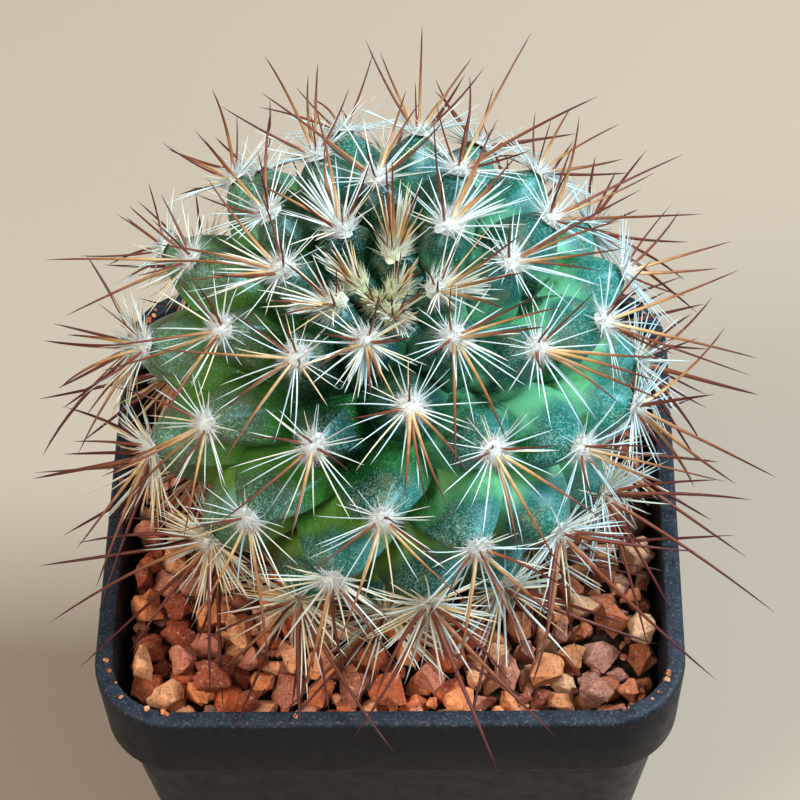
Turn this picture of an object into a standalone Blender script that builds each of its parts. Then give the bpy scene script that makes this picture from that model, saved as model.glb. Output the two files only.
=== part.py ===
"""A globe cactus in a square plastic nursery pot, with gravel on its soil.

Metres, +Z up, front towards -Y. The origin is the centre of the pot's flat underside.
"""

import math
import random

import bmesh
import bpy
from mathutils import Matrix, Vector

MM = 0.001

# Pot: a thin moulded shell, square with round corners, with a collar round its rim.
POT_HEIGHT = 68 * MM
RIM_WIDTH = 75 * MM
RIM_CORNER = 10.7 * MM
RIM_LIP = 2.3 * MM
RIM_EDGE = 0.5 * MM
INNER_CORNER = 8.2 * MM
COLLAR_HEIGHT = 11.2 * MM
COLLAR_TAPER = 0.7 * MM
BODY_CORNER = 9.2 * MM
LEDGE_WIDTH = 1.4 * MM
LEDGE_HEIGHT = 0.6 * MM
WALL = 1.2 * MM
FLOOR = 1.6 * MM
BASE_WIDTH = 54 * MM
BASE_CORNER = 7 * MM
BASE_EDGE = 0.8 * MM
CORNER_STEPS = 7
DRAIN_RADIUS = 2.5 * MM
DRAIN_OFFSET = 14 * MM
DRAIN_STEPS = 16

# Filling: soil, then a bed of gravel with a hole for the plant's foot.
GAP = 0.35 * MM
SOIL_TOP = 58.4 * MM
SOIL_SHOULDER = 0.6 * MM
GRAVEL_TOP = 63.6 * MM
GRAVEL_LUMP = 1.0 * MM
GRAVEL_HOLE = 19.6 * MM
GRAVEL_HOLE_AT = Vector((0.5 * MM, 0.8 * MM, 0.0))
GRAVEL_STEPS = 56
GRAVEL_RINGS = 7
PIT_TOP_RADIUS = 14.5 * MM
PIT_TIP_RADIUS = 1.2 * MM
PIT_ROOM = 1.5 * MM
PIT_STEPS = 20

# Body of the cactus, in its own frame: its centre is above the pot and its axis leans.
BODY_CENTRE = Vector((0.0, 0.5 * MM, POT_HEIGHT + 26.7 * MM))
LEAN_FORWARD = 0.184
LEAN_SIDE = -0.018
BODY_RADIUS = 32.4 * MM
CROWN_HEIGHT = 21.5 * MM
CROWN_POWER = 1.08
FOOT_DEPTH = 31 * MM
FOOT_POWER = 0.75
DIP_DEPTH = 8.1 * MM
DIP_WIDTH = 0.26
NECK_LENGTH = 4 * MM
NECK_DROP = 2 * MM
ROOT_LENGTH = 11 * MM
ROOT_FROM = math.radians(166)

# Tubercles: numbered from the crown down one spiral, each a golden angle after the last.
TUBERCLES = 70
TURN = math.pi * (3 - math.sqrt(5)) + 0.0011
FIRST_TURN = 1.801
POLAR_STEP = 0.0388
POLAR_POWER = 0.984
POLAR_SHIFT = -0.108
TUBERCLE_HEIGHT = 9.5 * MM
YOUNG_HEIGHT = 2.0 * MM
FULL_GROWN = 0.85
FOOT_SHRINK = 0.35
FOOT_SHRINK_FROM = 1.9
FOOT_SHRINK_TO = 2.6
TIP_POWER = 1.12
RING_ANGLES = (math.radians(58), math.radians(27))
FOOT_SITES = 6
FOOT_SITES_AT = math.radians(163)

# Spine clusters: one woolly cushion each, with a wheel of radial spines and a few centrals.
CROWN_CLUSTERS = 4
CLUSTERS = 49
RADIALS = 12
CENTRAL_SIDES = (0, 2, 5, 7, 10)
CUSHION_RADIUS = 1.35 * MM
CUSHION_HEIGHT = 1.0 * MM
CUSHION_TOP = 0.55
RADIAL_LENGTH = 5.4 * MM
CLUSTER_TWIST = 2.3
YOUNG_SIZE = 0.42
FULL_SIZE_FROM = 0.15
# Kinds of cluster by age: name, first number, rise of the radials, length and spread of the centrals.
CLUSTER_KINDS = (
    ("young", 5, 1.5, 11.2 * MM, 0.35),
    ("middle", 8, 0.55, 12.8 * MM, 0.55),
    ("grown", 14, 0.30, 16.5 * MM, 0.72),
    ("low", 45, 0.30, 13.5 * MM, 0.66),
)

# Crown tuft: the youngest clusters as one small brush.
TUFT_SIDES = 9
TUFT_RADIUS = 1.8 * MM
TUFT_HEIGHT = 1.7 * MM
TUFT_TOP = 0.55
TUFT_SPIKE = 4.5 * MM
TUFT_SPREAD = 0.25

# Loose stones on the front of the gravel.
STONES = 6
STONE_SIZE = 5 * MM
STONE_RING = 29 * MM
STONE_FIRST_TURN = math.radians(-150)
STONE_TURN_STEP = math.radians(24)
STONE_POINTS = 14
STONE_STRETCH = ((0.9, 1.3), (0.75, 1.0), (0.6, 0.8))
SEED = 7


def clear_scene():
    for obj in list(bpy.data.objects):
        bpy.data.objects.remove(obj, do_unlink=True)


def material(name, colour, roughness):
    made = bpy.data.materials.new(name)
    made.use_nodes = True
    shader = made.node_tree.nodes["Principled BSDF"]
    shader.inputs["Base Color"].default_value = (*colour, 1.0)
    shader.inputs["Roughness"].default_value = roughness
    shader.inputs["Metallic"].default_value = 0.0
    return made


def mesh_from(bm, name, finish, smooth_angle=math.radians(40)):
    bmesh.ops.recalc_face_normals(bm, faces=bm.faces)
    mesh = bpy.data.meshes.new(name)
    bm.to_mesh(mesh)
    bm.free()
    mesh.shade_smooth()
    mesh.set_sharp_from_angle(angle=smooth_angle)
    mesh.materials.append(finish)
    return mesh


def place(mesh, name, parent=None, matrix=None):
    obj = bpy.data.objects.new(name, mesh)
    bpy.context.scene.collection.objects.link(obj)
    obj.parent = parent
    if matrix is not None:
        obj.matrix_local = matrix
    return obj


def smoothstep(low, high, x):
    t = min(max((x - low) / (high - low), 0.0), 1.0)
    return t * t * (3 - 2 * t)


# Pot and filling


def rounded_square(width, corner, z):
    """Points of a square with round corners, anticlockwise from above."""
    points = []
    arm = width / 2 - corner
    for quarter in range(4):
        middle = math.pi / 4 + quarter * math.pi / 2
        centre = Vector((math.copysign(arm, math.cos(middle)), math.copysign(arm, math.sin(middle)), z))
        for step in range(CORNER_STEPS + 1):
            angle = (quarter + step / CORNER_STEPS) * math.pi / 2
            points.append(centre + corner * Vector((math.cos(angle), math.sin(angle), 0.0)))
    return points


def loft(bm, outlines):
    """Skins a list of outlines that have the same number of points, and returns their rings of vertices."""
    rings = [[bm.verts.new(p) for p in outline] for outline in outlines]
    for low, high in zip(rings, rings[1:]):
        for i in range(len(low)):
            k = (i + 1) % len(low)
            bm.faces.new((low[i], low[k], high[k], high[i]))
    return rings


def outer_width(z):
    """Width of the tapered lower body at a height."""
    ledge = POT_HEIGHT - COLLAR_HEIGHT
    top = RIM_WIDTH - 2 * (COLLAR_TAPER + LEDGE_WIDTH)
    return BASE_WIDTH + (top - BASE_WIDTH) * z / ledge


def build_pot(finish):
    ledge = POT_HEIGHT - COLLAR_HEIGHT
    collar_low = RIM_WIDTH - 2 * COLLAR_TAPER
    inner_top = RIM_WIDTH - 2 * RIM_LIP
    inner_low = outer_width(ledge) - 2 * WALL
    outlines = [
        rounded_square(BASE_WIDTH - 2 * BASE_EDGE, BASE_CORNER - BASE_EDGE, 0.0),
        rounded_square(outer_width(BASE_EDGE), BASE_CORNER, BASE_EDGE),
        rounded_square(outer_width(ledge - LEDGE_HEIGHT), BODY_CORNER, ledge - LEDGE_HEIGHT),
        rounded_square(collar_low, RIM_CORNER - COLLAR_TAPER, ledge),
        rounded_square(RIM_WIDTH, RIM_CORNER, POT_HEIGHT - RIM_EDGE),
        rounded_square(RIM_WIDTH - 2 * RIM_EDGE, RIM_CORNER - RIM_EDGE, POT_HEIGHT),
        rounded_square(inner_top + RIM_EDGE, RIM_CORNER - RIM_LIP + RIM_EDGE / 2, POT_HEIGHT),
        rounded_square(inner_top, RIM_CORNER - RIM_LIP, POT_HEIGHT - RIM_EDGE),
        rounded_square(inner_low, INNER_CORNER, ledge),
        rounded_square(outer_width(FLOOR) - 2 * WALL, BASE_CORNER - WALL, FLOOR),
    ]
    bm = bmesh.new()
    rings = loft(bm, outlines)
    bm.faces.new(reversed(rings[0]))
    bm.faces.new(rings[-1])
    pot = place(mesh_from(bm, "pot", finish), "pot")
    for i, (side_x, side_y) in enumerate(((-1, -1), (-1, 1), (1, -1), (1, 1))):
        cut = drain_cutter(f"drain_cutter_{i}", side_x * DRAIN_OFFSET, side_y * DRAIN_OFFSET, finish)
        hole = pot.modifiers.new(f"drain_{i}", "BOOLEAN")
        hole.operation = "DIFFERENCE"
        hole.object = cut
    return pot


def hide_cutter(obj):
    obj.hide_render = True
    obj.display_type = "WIRE"


def drain_cutter(name, x, y, finish):
    bm = bmesh.new()
    bmesh.ops.create_cone(
        bm,
        cap_ends=True,
        segments=DRAIN_STEPS,
        radius1=DRAIN_RADIUS,
        radius2=DRAIN_RADIUS,
        depth=4 * FLOOR,
        matrix=Matrix.Translation((x, y, 0.0)),
    )
    cutter = place(mesh_from(bm, name, finish), name)
    hide_cutter(cutter)
    return cutter


def build_soil(body, finish):
    low = FLOOR + GAP
    ledge = POT_HEIGHT - COLLAR_HEIGHT
    room = 2 * (WALL + GAP)
    top_width = outer_width(ledge) - room
    corner = INNER_CORNER - GAP
    outlines = [
        rounded_square(outer_width(low) - room, BASE_CORNER - WALL - GAP, low),
        rounded_square(top_width - GAP, corner, ledge - GAP),
        rounded_square(top_width - GAP, corner, SOIL_TOP - SOIL_SHOULDER),
        rounded_square(top_width - 3 * SOIL_SHOULDER, corner - SOIL_SHOULDER, SOIL_TOP),
    ]
    bm = bmesh.new()
    rings = loft(bm, outlines)
    bm.faces.new(reversed(rings[0]))
    bm.faces.new(rings[-1])
    soil = place(mesh_from(bm, "potting_soil", finish), "potting_soil")
    pit = soil.modifiers.new("root_pit", "BOOLEAN")
    pit.operation = "DIFFERENCE"
    pit.object = root_cutter(body, finish)
    return soil


def root_cutter(body, finish):
    """A cone a little larger than the tap root, along the leaning axis of the plant."""
    top = -(FOOT_DEPTH - NECK_LENGTH)
    tip = -(FOOT_DEPTH + NECK_DROP + ROOT_LENGTH + PIT_ROOM)
    bm = bmesh.new()
    bmesh.ops.create_cone(
        bm,
        cap_ends=True,
        segments=PIT_STEPS,
        radius1=PIT_TIP_RADIUS,
        radius2=PIT_TOP_RADIUS,
        depth=top - tip,
        matrix=Matrix.Translation((0.0, 0.0, (top + tip) / 2)),
    )
    cutter = place(mesh_from(bm, "root_cutter", finish), "root_cutter", body)
    hide_cutter(cutter)
    return cutter


def build_gravel_bed(rng, finish):
    """A ring of packed gravel: lumpy on top, flat below, from the plant's foot to the pot's wall."""
    width = outer_width(POT_HEIGHT - COLLAR_HEIGHT) - 2 * WALL - 2 * GAP
    corner = RIM_CORNER - RIM_LIP - GAP
    bottom = SOIL_TOP + GAP
    outer = [square_edge(width, corner, i) for i in range(GRAVEL_STEPS)]
    inner = [GRAVEL_HOLE_AT + GRAVEL_HOLE * ray(i) for i in range(GRAVEL_STEPS)]
    outlines = [[Vector((p.x, p.y, bottom)) for p in outer]]
    for ring in range(GRAVEL_RINGS + 1):
        share = ring / GRAVEL_RINGS
        rim = min(share, 1 - share) * GRAVEL_RINGS
        outline = []
        for a, b in zip(outer, inner):
            lump = GRAVEL_LUMP * rng.uniform(-1, 1) if rim >= 1 else -GRAVEL_LUMP
            flat = a.lerp(b, share)
            outline.append(Vector((flat.x, flat.y, GRAVEL_TOP + lump)))
        outlines.append(outline)
    outlines.append([Vector((p.x, p.y, bottom)) for p in inner])
    bm = bmesh.new()
    rings = loft(bm, outlines)
    bmesh.ops.bridge_loops(bm, edges=ring_edges(bm, rings[0]) + ring_edges(bm, rings[-1]))
    return place(mesh_from(bm, "gravel_bed", finish), "gravel_bed")


def ray(step):
    angle = 2 * math.pi * step / GRAVEL_STEPS
    return Vector((math.cos(angle), math.sin(angle), 0.0))


def ring_edges(bm, ring):
    return [bm.edges.get((a, b)) for a, b in zip(ring, ring[1:] + ring[:1])]


def square_edge(width, corner, step):
    """Where a ray from the hole's centre meets a square with round corners, found by halving."""
    direction = ray(step)
    near, far = 0.0, width
    for _ in range(40):
        middle = (near + far) / 2
        point = GRAVEL_HOLE_AT + direction * middle
        dx = max(abs(point.x) - (width / 2 - corner), 0.0)
        dy = max(abs(point.y) - (width / 2 - corner), 0.0)
        if math.hypot(dx, dy) <= corner:
            near = middle
        else:
            far = middle
    return GRAVEL_HOLE_AT + direction * near


def build_stone(rng, index, at, finish):
    """One angular grain: the hull of random points, resting just above the bed."""
    bm = bmesh.new()
    size = STONE_SIZE * rng.uniform(0.85, 1.2)
    stretch = Vector([rng.uniform(low, high) for low, high in STONE_STRETCH])
    for _ in range(STONE_POINTS):
        way = Vector((rng.gauss(0, 1), rng.gauss(0, 1), rng.gauss(0, 1))).normalized()
        bm.verts.new(way * stretch * size / 2)
    hull = bmesh.ops.convex_hull(bm, input=bm.verts)
    bmesh.ops.delete(bm, geom=hull["geom_interior"], context="VERTS")
    lowest = min(v.co.z for v in bm.verts)
    name = f"gravel_stone_{index:02d}"
    up = GRAVEL_TOP + GRAVEL_LUMP + GAP - lowest
    turn = Matrix.Rotation(rng.uniform(0, 2 * math.pi), 4, "Z")
    spot = Matrix.Translation((at.x, at.y, up))
    return place(mesh_from(bm, name, finish), name, matrix=spot @ turn)


# Body of the cactus


def grown(polar):
    return smoothstep(0.0, FULL_GROWN, polar)


def tubercle_height(polar):
    full = YOUNG_HEIGHT + (TUBERCLE_HEIGHT - YOUNG_HEIGHT) * grown(polar)
    return full * (1 - FOOT_SHRINK * smoothstep(FOOT_SHRINK_FROM, FOOT_SHRINK_TO, polar))


def skin_point(polar, turn, inset):
    """A point of the globe that the tubercle tips lie on, or of a smaller one inside it."""
    across = math.sin(polar)
    up = math.cos(polar)
    if up >= 0:
        r = (BODY_RADIUS - inset) * across**CROWN_POWER
        z = (CROWN_HEIGHT - inset) * up**CROWN_POWER
        z -= DIP_DEPTH * math.exp(-((polar / DIP_WIDTH) ** 2))
    else:
        r = (BODY_RADIUS - inset) * max(across, 0.0) ** FOOT_POWER
        z = (FOOT_DEPTH + NECK_DROP) * up if inset > 0 else FOOT_DEPTH * up
    if inset > 0:
        z -= ROOT_LENGTH * smoothstep(ROOT_FROM, math.pi, polar)
    return Vector((r * math.cos(turn), r * math.sin(turn), z))


def polar_of(number):
    return POLAR_STEP * (number + POLAR_SHIFT) ** POLAR_POWER


def tubercle_line(polar, turn):
    """Foot of a tubercle on its axis, and the vector from there to its tip."""
    foot = skin_point(polar, turn, tubercle_height(polar))
    return foot, skin_point(polar, turn, 0.0) - foot


def on_sphere(polar, turn):
    return Vector((math.sin(polar) * math.cos(turn), math.sin(polar) * math.sin(turn), math.cos(polar)))


def angles_of(direction):
    return math.acos(min(max(direction.z, -1.0), 1.0)), math.atan2(direction.y, direction.x)


def sites():
    """(polar, turn, is a tubercle) of each cell of the skin: the tubercles, and plain cells at the foot."""
    found = [(polar_of(j), FIRST_TURN + TURN * j, True) for j in range(1, TUBERCLES + 1)]
    found += [(FOOT_SITES_AT, 2 * math.pi * k / FOOT_SITES, False) for k in range(FOOT_SITES)]
    found.append((math.pi, 0.0, False))
    return found


def cells(places):
    """For each place on the unit sphere, the corners of the region nearer to it than to any other."""
    bm = bmesh.new()
    for polar, turn, _ in places:
        bm.verts.new(on_sphere(polar, turn))
    bm.verts.index_update()
    bmesh.ops.convex_hull(bm, input=bm.verts)
    bm.normal_update()
    bm.verts.ensure_lookup_table()
    corners = []
    for vert in bm.verts:
        axis = vert.co.normalized()
        side = axis.orthogonal()
        other = axis.cross(side)
        normals = [f.normal * math.copysign(1, f.normal.dot(axis)) for f in vert.link_faces]
        normals.sort(key=lambda n: math.atan2(n.dot(other), n.dot(side)))
        corners.append([n.normalized() for n in normals])
    bm.free()
    return corners


def cell_border(polygon):
    """The corners of a cell and the middles of its sides, as directions."""
    border = []
    for a, b in zip(polygon, polygon[1:] + polygon[:1]):
        border.append(a)
        border.append(((a + b) / 2).normalized())
    return border


def axil_point(direction):
    """A point of the furrows between the tubercles."""
    polar, turn = angles_of(direction)
    return skin_point(polar, turn, tubercle_height(polar))


def add_tubercle(bm, polar, turn, border):
    """A rounded cone: its foot is the cell's border, and it narrows to a round tip."""
    foot, line = tubercle_line(polar, turn)
    height = line.length
    axis = line / height
    edge = [axil_point(d) - foot for d in border]
    drops = [e.dot(axis) for e in edge]
    sides = [e - axis * d for e, d in zip(edge, drops)]
    mean = sum(s.length for s in sides) / len(sides)
    outlines = [[foot + e for e in edge]]
    for angle in RING_ANGLES:
        share = math.sin(angle) ** TIP_POWER
        rise = height * math.cos(angle) ** TIP_POWER
        outline = []
        for side, drop in zip(sides, drops):
            reach = share * (side.length * share + mean * (1 - share))
            outline.append(foot + side.normalized() * reach + axis * (rise + drop * share * share))
        outlines.append(outline)
    rings = loft(bm, outlines)
    close_fan(bm, rings[-1], foot + axis * height)


def close_fan(bm, ring, point):
    tip = bm.verts.new(point)
    for a, b in zip(ring, ring[1:] + ring[:1]):
        bm.faces.new((a, b, tip))


def build_stem(body, finish):
    places = sites()
    bm = bmesh.new()
    for (polar, turn, is_tubercle), polygon in zip(places, cells(places)):
        border = cell_border(polygon)
        if is_tubercle:
            add_tubercle(bm, polar, turn, border)
        else:
            ring = [bm.verts.new(axil_point(d)) for d in border]
            close_fan(bm, ring, axil_point(on_sphere(polar, turn)))
    bmesh.ops.remove_doubles(bm, verts=bm.verts, dist=0.002 * MM)
    return place(mesh_from(bm, "cactus_stem", finish), "cactus_stem", body)


# Spine clusters


def ring_of(radius, z, count, phase=0.0):
    turns = [2 * math.pi * (i + phase) / count for i in range(count)]
    return [Vector((radius * math.cos(t), radius * math.sin(t), z)) for t in turns]


def pull_spike(bm, face, direction, length):
    """Draws a face of the cushion out into a pointed spine."""
    centre = face.calc_center_median()
    corners = list(face.verts)
    bm.faces.remove(face)
    close_fan(bm, corners, centre + direction.normalized() * length)


def cluster_mesh(name, radial_rise, central_length, central_spread, finish):
    bm = bmesh.new()
    outlines = [
        ring_of(CUSHION_RADIUS, 0.0, RADIALS),
        ring_of(CUSHION_RADIUS, CUSHION_HEIGHT * 0.45, RADIALS),
        ring_of(CUSHION_RADIUS * CUSHION_TOP, CUSHION_HEIGHT, RADIALS),
    ]
    rings = loft(bm, outlines)
    bm.faces.new(reversed(rings[0]))
    bm.faces.new(rings[-1])
    bm.faces.ensure_lookup_table()
    side_faces = [bm.faces[i] for i in range(RADIALS)]
    top_faces = [bm.faces[RADIALS + i] for i in range(RADIALS)]
    for face in side_faces:
        out = face.calc_center_median().normalized()
        pull_spike(bm, face, Vector((out.x, out.y, radial_rise)), RADIAL_LENGTH)
    for i in CENTRAL_SIDES:
        out = top_faces[i].calc_center_median().normalized() * central_spread
        pull_spike(bm, top_faces[i], Vector((out.x, out.y, 1.0)), central_length)
    return mesh_from(bm, name, finish)


def cluster_matrix(number):
    """Stands a cluster on the tip of its tubercle, scaled to its age."""
    polar = polar_of(number)
    turn = FIRST_TURN + TURN * number
    foot, line = tubercle_line(polar, turn)
    axis = line.normalized()
    tip = foot + line + axis * GAP
    down = Vector((0.0, 0.0, -1.0))
    side = axis.cross(down).normalized()
    basis = Matrix((axis.cross(side), side, axis)).transposed().to_4x4()
    size = YOUNG_SIZE + (1 - YOUNG_SIZE) * smoothstep(FULL_SIZE_FROM, FULL_GROWN, polar)
    twist = Matrix.Rotation(CLUSTER_TWIST * number, 4, "Z")
    return Matrix.Translation(tip) @ basis @ twist @ Matrix.Scale(size, 4)


def build_clusters(body, finish, young_finish):
    kinds = []
    for kind, first, rise, length, spread in CLUSTER_KINDS:
        used = young_finish if kind == "young" else finish
        kinds.append((first, cluster_mesh(f"{kind}_cluster", rise, length, spread, used)))
    for k in range(CLUSTERS):
        number = CROWN_CLUSTERS + 1 + k
        mesh = [made for first, made in kinds if first <= number][-1]
        place(mesh, f"spine_cluster_{k + 1:02d}", body, cluster_matrix(number))


def build_crown_tuft(body, finish):
    """The youngest clusters, one brush of wool and bristles in the dip of the crown."""
    foot = skin_point(0.0, 0.0, tubercle_height(0.0)) + Vector((0.0, 0.0, tubercle_height(0.0) + 3 * GAP))
    bm = bmesh.new()
    outlines = [
        ring_of(TUFT_RADIUS, 0.0, TUFT_SIDES),
        ring_of(TUFT_RADIUS, TUFT_HEIGHT / 2, TUFT_SIDES),
        ring_of(TUFT_RADIUS * TUFT_TOP, TUFT_HEIGHT, TUFT_SIDES),
    ]
    rings = loft(bm, outlines)
    bm.faces.new(reversed(rings[0]))
    bm.faces.new(rings[-1])
    bm.faces.ensure_lookup_table()
    for face in [bm.faces[i] for i in range(TUFT_SIDES, 2 * TUFT_SIDES)]:
        out = face.calc_center_median().normalized() * TUFT_SPREAD
        pull_spike(bm, face, Vector((out.x, out.y, 1.0)), TUFT_SPIKE)
    return place(mesh_from(bm, "crown_tuft", finish), "crown_tuft", body, Matrix.Translation(foot))


def main():
    clear_scene()
    rng = random.Random(SEED)
    plastic = material("pot_plastic", (0.035, 0.037, 0.042), 0.45)
    earth = material("soil", (0.06, 0.04, 0.028), 0.95)
    gravel = material("gravel", (0.46, 0.16, 0.08), 0.85)
    skin = material("stem_skin", (0.07, 0.2, 0.09), 0.5)
    spine = material("spine", (0.85, 0.78, 0.65), 0.5)
    wool = material("young_wool", (0.85, 0.8, 0.6), 0.9)

    body = bpy.data.objects.new("body_frame", None)
    bpy.context.scene.collection.objects.link(body)
    lean = Matrix.Rotation(LEAN_SIDE, 4, "Y") @ Matrix.Rotation(LEAN_FORWARD, 4, "X")
    body.matrix_world = Matrix.Translation(BODY_CENTRE) @ lean

    build_pot(plastic)
    build_soil(body, earth)
    build_gravel_bed(rng, gravel)
    for i in range(STONES):
        turn = STONE_FIRST_TURN + STONE_TURN_STEP * i
        at = STONE_RING * Vector((math.cos(turn), math.sin(turn)))
        build_stone(rng, i + 1, at, gravel)
    build_stem(body, skin)
    build_crown_tuft(body, wool)
    build_clusters(body, spine, wool)


main()
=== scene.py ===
"""Looks of a globe cactus in a square nursery pot: skin, spines, wool, gravel, soil and pot.

Metres, +Z up, front towards -Y, origin at the centre of the pot's underside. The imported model
gives the pot's, the gravel's and the plant's places; the finer shapes are grown here by rule.
"""

import math

import bmesh
import bpy
import numpy as np
from mathutils import Matrix, Vector, noise


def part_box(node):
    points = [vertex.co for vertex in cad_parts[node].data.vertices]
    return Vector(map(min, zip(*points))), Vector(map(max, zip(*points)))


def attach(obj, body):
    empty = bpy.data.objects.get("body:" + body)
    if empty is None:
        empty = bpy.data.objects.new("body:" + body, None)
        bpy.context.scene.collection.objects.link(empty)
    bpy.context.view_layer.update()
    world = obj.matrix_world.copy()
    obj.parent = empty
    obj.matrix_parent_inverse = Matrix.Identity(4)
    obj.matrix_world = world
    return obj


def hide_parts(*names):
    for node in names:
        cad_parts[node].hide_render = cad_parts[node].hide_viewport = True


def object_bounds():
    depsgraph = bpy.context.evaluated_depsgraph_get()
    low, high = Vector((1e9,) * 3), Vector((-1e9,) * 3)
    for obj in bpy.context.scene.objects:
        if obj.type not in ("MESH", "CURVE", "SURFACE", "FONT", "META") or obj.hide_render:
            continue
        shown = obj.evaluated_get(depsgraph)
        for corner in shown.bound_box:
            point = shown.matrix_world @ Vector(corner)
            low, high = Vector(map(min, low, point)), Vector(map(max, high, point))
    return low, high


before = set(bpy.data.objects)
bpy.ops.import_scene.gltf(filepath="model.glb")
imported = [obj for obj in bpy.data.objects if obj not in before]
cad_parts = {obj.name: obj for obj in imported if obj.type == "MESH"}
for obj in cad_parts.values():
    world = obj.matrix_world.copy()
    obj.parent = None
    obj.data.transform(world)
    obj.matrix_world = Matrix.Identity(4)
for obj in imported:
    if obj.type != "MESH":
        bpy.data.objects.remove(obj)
CAD_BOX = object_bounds()

MM = 0.001
GOLDEN = math.pi * (3 - math.sqrt(5))

# Pot, as in the CAD: its rim is at the top of the node's box.
POT_LOW, POT_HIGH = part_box("pot")
RIM_TOP = POT_HIGH.z
RIM_WIDTH = POT_HIGH.x - POT_LOW.x
RIM_CORNER = 10.7 * MM
RIM_LIP = 2.3 * MM
RIM_EDGE = 0.75 * MM
INNER_CORNER = 8.2 * MM
COLLAR_HEIGHT = 11.2 * MM
COLLAR_TAPER = 0.7 * MM
COLLAR_EDGE = 0.35 * MM
LEDGE = RIM_TOP - COLLAR_HEIGHT
LEDGE_WIDTH = 1.4 * MM
LEDGE_HEIGHT = 0.6 * MM
BODY_CORNER = 9.2 * MM
WALL = 1.2 * MM
FLOOR = 1.6 * MM
BASE_WIDTH = 54 * MM
BASE_CORNER = 7 * MM
BASE_EDGE = 0.8 * MM
CORNER_STEPS = 14
POT_CREASE = math.radians(35)
DRAIN_RADIUS = 2.5 * MM
DRAIN_OFFSET = 14 * MM
DRAIN_SIDES = 32

# Body of the cactus, in its own leaning frame above the rim.
BODY_CENTRE = Vector((0.0, 0.5 * MM, RIM_TOP + 26.7 * MM))
LEAN_FORWARD = 0.184
LEAN_SIDE = -0.018
BODY_RADIUS = 32.4 * MM
CROWN_HEIGHT = 21.5 * MM
CROWN_POWER = 1.08
FOOT_DEPTH = 31 * MM
FOOT_POWER = 0.75
DIP_DEPTH = 8.1 * MM
DIP_WIDTH = 0.26
NECK_DROP = 2 * MM
ROOT_LENGTH = 11 * MM
ROOT_FROM = math.radians(166)

# Tubercles: numbered from the crown down one spiral, each in its own cell of the skin.
TUBERCLES = 70
TURN = GOLDEN + 0.0011
FIRST_TURN = 1.801
POLAR_STEP = 0.0388
POLAR_POWER = 0.984
POLAR_SHIFT = -0.108
TUBERCLE_HEIGHT = 9.5 * MM
YOUNG_HEIGHT = 2.0 * MM
FULL_GROWN = 0.85
FOOT_SHRINK = 0.35
FOOT_SHRINKS = (1.9, 2.6)
TIP_POWER = 1.12
FOOT_SITES = 6
FOOT_SITES_AT = math.radians(163)
SIDE_STEPS = 8
TUBERCLE_RINGS = 20
SKIN_LUMP = 0.16 * MM
SKIN_LUMP_SIZE = 3.2 * MM
SKIN_WELD = 0.004 * MM

# Where each change with age starts and ends, as a tubercle's number from the crown down.
OPENS = (3.0, 12.0)
BRUSH_GROWS = (2.0, 5.0)
BRUSH_LOOSENS = (5.0, 14.0)
BRUSH_FADES = (7.0, 14.0)
RADIALS_GROW = (0.0, 6.5)
CENTRALS_GROW = (0.0, 9.0)
CUSHION_GROWS = (0.0, 7.0)
CUSHION_WEARS = (47, TUBERCLES)
YOUNG_WOOL_ENDS = (4, 15)
TURNS_BROWN = (34, 51)
GROWS_DENSE = (35, 55)
LOW_FROM = 40

# Spines: angles in degrees, tints from 0, the whitest, to 1, the brownest; east is +X.
YOUNG_SPINE = 0.3
SPINE_BLUNT = 0.05
RADIALS = 22
YOUNG_RADIALS_LESS = 6
OLD_RADIALS = 42
RADIAL_LENGTH = 7.7 * MM
RADIAL_LENGTH_SWING = 2.4 * MM
RADIAL_RADIUS = 0.142 * MM
RADIAL_RISE_YOUNG = 64
RADIAL_RISE = 19
OLD_RISE_SWING = 30
YOUNG_SPREAD = 0.45
CREAM_SHARE = 0.14
CREAM_TINT = 0.35
# Painted light in the radials' tints: warm cream towards -X, cool white towards +X.
PAINTED_WARM_WEST = 0.15
PAINTED_COOL_EAST = 0.3
BRUSH_SPINES = 24
BRUSH_LENGTH = 8.6 * MM
BRUSH_RADIUS = 0.22 * MM
BRUSH_RISE = 48
LOOSE_BRUSH_RISE = 24
CENTRAL_RADIUS = 0.24 * MM
CENTRAL_SWING = 13
CENTRAL_RISE_SWING = 7
YOUNG_LEAN = 0.35
# Central spines of a grown cluster: side it leans to (0 is downhill), tilt off the axis, length,
# and how dark it is at least.
CENTRALS = (
    (180, 34, 6.5 * MM, 0.72),
    (86, 50, 9.0 * MM, 0.72),
    (-88, 54, 8.5 * MM, 0.72),
    (12, 40, 17.0 * MM, 0.08),
    (-36, 50, 16.0 * MM, 0.08),
    (46, 54, 15.0 * MM, 0.08),
    (-6, 64, 13.0 * MM, 0.08),
)
CENTRAL_MISSING = 0.16
LOW_STRETCH = 1.3
CRUST_TOP = RIM_TOP - 2.2 * MM
WALL_ROOM = 1.0 * MM
RIM_CLEARANCE = 0.5 * MM
OUTSIDE_ROOM = 1.1 * MM
LIFT_ROUNDS = 4
BEND_STEPS = 9

# Wool.
CUSHION_RADIUS = 1.45 * MM
CUSHION_HEIGHT = 0.8 * MM
CUSHION_SUNK = 0.3 * MM
CUSHION_RINGS = 7
CUSHION_SIDES = 18
CUSHION_STRETCH = 1.1
WOOL_HAIRS = 330
HAIR_LENGTH = 1.4 * MM
HAIR_RADIUS = 0.048 * MM
HAIR_ROOT = 0.92
HAIR_TANGLE = 0.45
YOUNG_HAIR_EXTRA = 0.9

# Gravel.
STONES = 500
STONE_RADIUS = (1.4 * MM, 3.0 * MM)
STONE_SHAPES = 16
STONE_POINTS = 15
STONE_EDGE = 0.22
STONE_FLAT = math.radians(14)
STONE_SPLIT = 0.42
STONE_CREASE = math.radians(50)
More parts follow.
